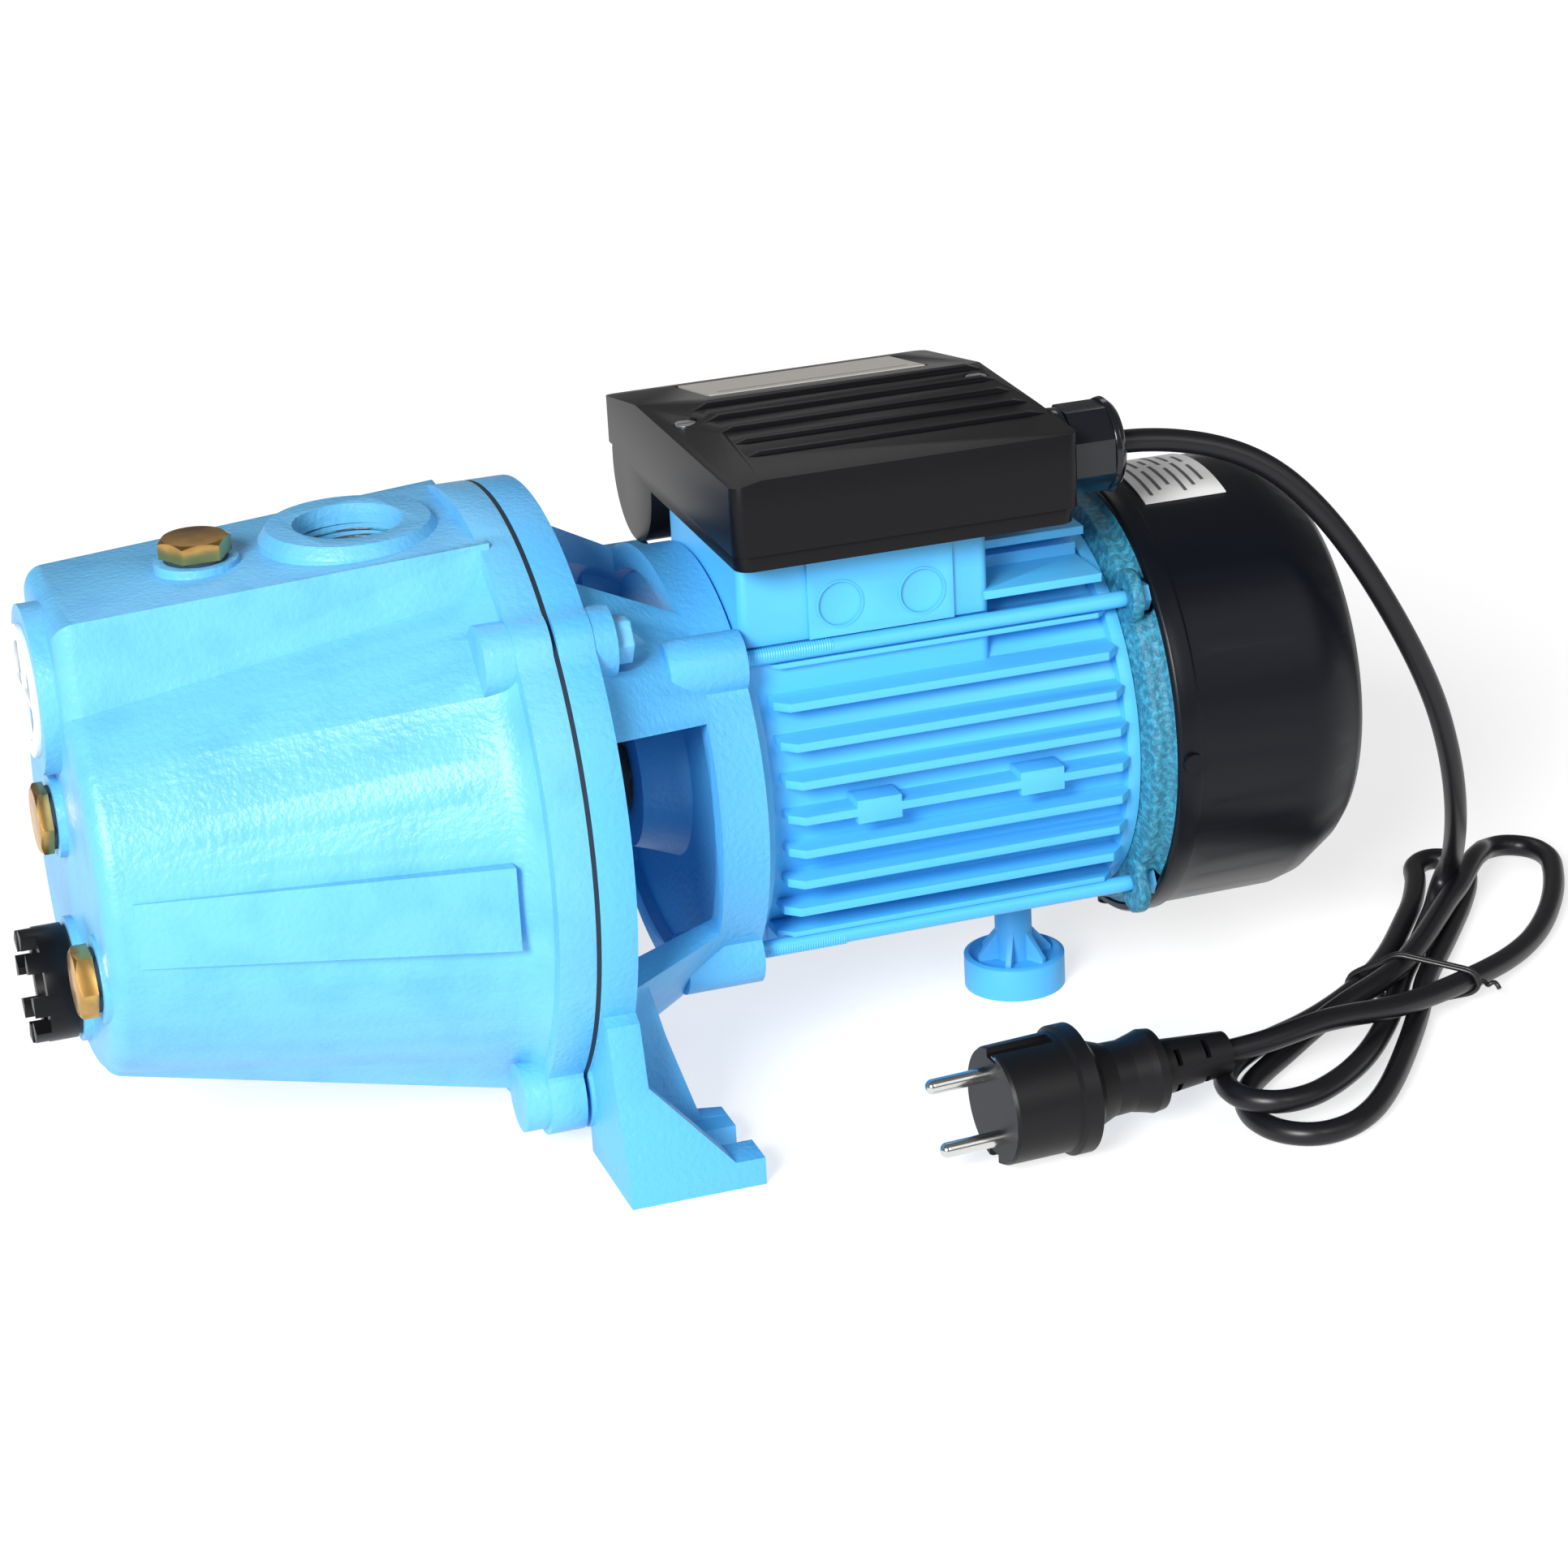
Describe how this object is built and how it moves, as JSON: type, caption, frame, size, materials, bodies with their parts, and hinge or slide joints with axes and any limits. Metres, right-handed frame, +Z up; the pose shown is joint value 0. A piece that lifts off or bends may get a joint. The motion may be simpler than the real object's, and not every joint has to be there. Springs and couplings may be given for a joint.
{
  "type": "shallow well jet pump",
  "caption": "Self-priming jet pump: cast pump end with threaded suction and discharge ports, lantern bracket and finned fan-cooled motor with a corded mains plug.",
  "frame": {"origin": "on the floor under the shaft, midway between the two open base slots of the bracket's feet", "axes": "+Z up, +X along the shaft from the pump end to the motor's fan, +Y to the far side of the motor"},
  "size_m": [0.5177, 0.261, 0.2051],
  "materials": {
    "painted_casting": "light blue paint over a rough casting",
    "painted_aluminium": "mid blue paint, satin",
    "rough_casting": "teal mottled paint on a rough casting",
    "blue_plastic": "blue moulded plastic",
    "black_plastic": "moulded black plastic",
    "gland_plastic": "glossy black plastic",
    "cover_paint": "satin black paint on sheet steel",
    "cord_jacket": "black jacket, slightly glossy",
    "plug_rubber": "moulded black rubber",
    "brass": "turned brass",
    "zinc_steel": "zinc plated steel",
    "nickel": "nickel plated pins",
    "steel": "ground steel",
    "stainless": "stainless steel",
    "seal_rubber": "black sealing rubber",
    "gasket_fibre": "grey gasket fibre",
    "white_plastic": "white plastic",
    "grey_plastic": "grey moulded plastic",
    "noryl": "glass filled black plastic",
    "ceramic": "ceramic",
    "lamination": "stacked laminations",
    "copper_wire": "enamelled copper wire",
    "paper_label": "blank white label",
    "plate_metal": "blank satin plate"
  },
  "bodies": {
    "frame": {"pump_body": "painted_casting", "jet_nozzle": "brass", "venturi_tube": "noryl", "diffuser": "noryl", "seal_seat": "ceramic", "casing_gasket": "gasket_fibre", "motor_bracket": "painted_casting", "casing_bolts": "painted_casting", "front_bearing_outer": "steel", "rear_bearing_outer": "steel", "wave_washer": "steel", "stator_core": "lamination", "stator_windings": "copper_wire", "motor_housing": "painted_aluminium", "rear_end_shield": "rough_casting", "tie_rods": "painted_aluminium", "tie_rod_nuts": "painted_aluminium", "fan_cover": "cover_paint", "fan_cover_screws": "cover_paint", "fan_cover_label": "paper_label", "terminal_box_base": "black_plastic", "terminal_box_lid": "black_plastic", "terminal_box_gasket": "seal_rubber", "lid_screws": "zinc_steel", "terminal_block": "white_plastic", "terminal_screws": "brass", "capacitor": "white_plastic", "rating_plate": "plate_metal", "gland_body": "gland_plastic", "gland_nut": "gland_plastic", "gland_seal": "seal_rubber", "support_foot": "blue_plastic", "cord_lead": "cord_jacket", "cord_hank": "cord_jacket", "cord_tail": "cord_jacket", "plug_body": "plug_rubber", "plug_pins": "nickel"},
    "rotor": {"shaft": "stainless", "impeller": "noryl", "impeller_nut": "brass", "impeller_key": "stainless", "seal_head": "seal_rubber", "seal_spring": "stainless", "shaft_slinger": "seal_rubber", "rotor_core": "lamination", "front_bearing_inner": "steel", "rear_bearing_inner": "steel", "fan": "grey_plastic", "fan_clip": "steel"},
    "front_ball_cage": {"front_bearing_balls": "steel"},
    "rear_ball_cage": {"rear_bearing_balls": "steel"},
    "priming_washer": {"priming_plug_seal": "gasket_fibre"},
    "priming_screw": {"priming_plug": "brass"},
    "drain_washer": {"drain_plug_seal": "gasket_fibre"},
    "drain_screw": {"drain_plug": "brass"},
    "gauge_washer": {"gauge_plug_seal": "gasket_fibre"},
    "gauge_screw": {"gauge_plug": "brass"},
    "cleanout_washer": {"cleanout_plug_seal": "seal_rubber"},
    "cleanout_screw": {"cleanout_plug": "black_plastic"},
    "suction_cap": {"suction_thread_protector": "white_plastic"}
  },
  "joints": [
    {"name": "rotor_spin", "type": "hinge", "parent": "frame", "child": "rotor", "pos_m": [0, 0, 0.096], "axis": [1, 0, 0], "continuous": true},
    {"name": "front_cage_spin", "type": "hinge", "parent": "frame", "child": "front_ball_cage", "pos_m": [0.0155, 0, 0.096], "axis": [1, 0, 0], "continuous": true},
    {"name": "rear_cage_spin", "type": "hinge", "parent": "frame", "child": "rear_ball_cage", "pos_m": [0.1565, 0, 0.096], "axis": [1, 0, 0], "continuous": true},
    {"name": "priming_unscrew_travel", "type": "slide", "parent": "frame", "child": "priming_washer", "axis": [0, 0, 1], "range_m": [0, 0.01204]},
    {"name": "priming_unscrew_turn", "type": "hinge", "parent": "priming_washer", "child": "priming_screw", "pos_m": [-0.122, 0, 0.184], "axis": [0, 0, 1], "range_deg": [0, 3240]},
    {"name": "drain_unscrew_travel", "type": "slide", "parent": "frame", "child": "drain_washer", "axis": [-1, 0, 0], "range_m": [0, 0.01204]},
    {"name": "drain_unscrew_turn", "type": "hinge", "parent": "drain_washer", "child": "drain_screw", "pos_m": [-0.171, -0.045, 0.0765], "axis": [-1, 0, 0], "range_deg": [0, 3240]},
    {"name": "gauge_unscrew_travel", "type": "slide", "parent": "frame", "child": "gauge_washer", "axis": [-1, 0, 0], "range_m": [0, 0.01204]},
    {"name": "gauge_unscrew_turn", "type": "hinge", "parent": "gauge_washer", "child": "gauge_screw", "pos_m": [-0.1725, 0, 0.111], "axis": [-1, 0, 0], "range_deg": [0, 3240]},
    {"name": "cleanout_unscrew_travel", "type": "slide", "parent": "frame", "child": "cleanout_washer", "axis": [-1, 0, 0], "range_m": [0, 0.01201]},
    {"name": "cleanout_unscrew_turn", "type": "hinge", "parent": "cleanout_washer", "child": "cleanout_screw", "pos_m": [-0.1725, 0, 0.0585], "axis": [-1, 0, 0], "range_deg": [0, 2160]},
    {"name": "suction_cap_pull", "type": "slide", "parent": "frame", "child": "suction_cap", "axis": [-1, 0, 0], "range_m": [0, 0.03]}
  ],
  "couplings": [
    {"joint": "front_cage_spin", "follows": "rotor_spin", "ratio": 0.38},
    {"joint": "rear_cage_spin", "follows": "rotor_spin", "ratio": 0.38},
    {"joint": "priming_unscrew_travel", "follows": "priming_unscrew_turn", "m_per_rad": 0.00021279},
    {"joint": "drain_unscrew_travel", "follows": "drain_unscrew_turn", "m_per_rad": 0.00021279},
    {"joint": "gauge_unscrew_travel", "follows": "gauge_unscrew_turn", "m_per_rad": 0.00021279},
    {"joint": "cleanout_unscrew_travel", "follows": "cleanout_unscrew_turn", "m_per_rad": 0.00031831}
  ]
}
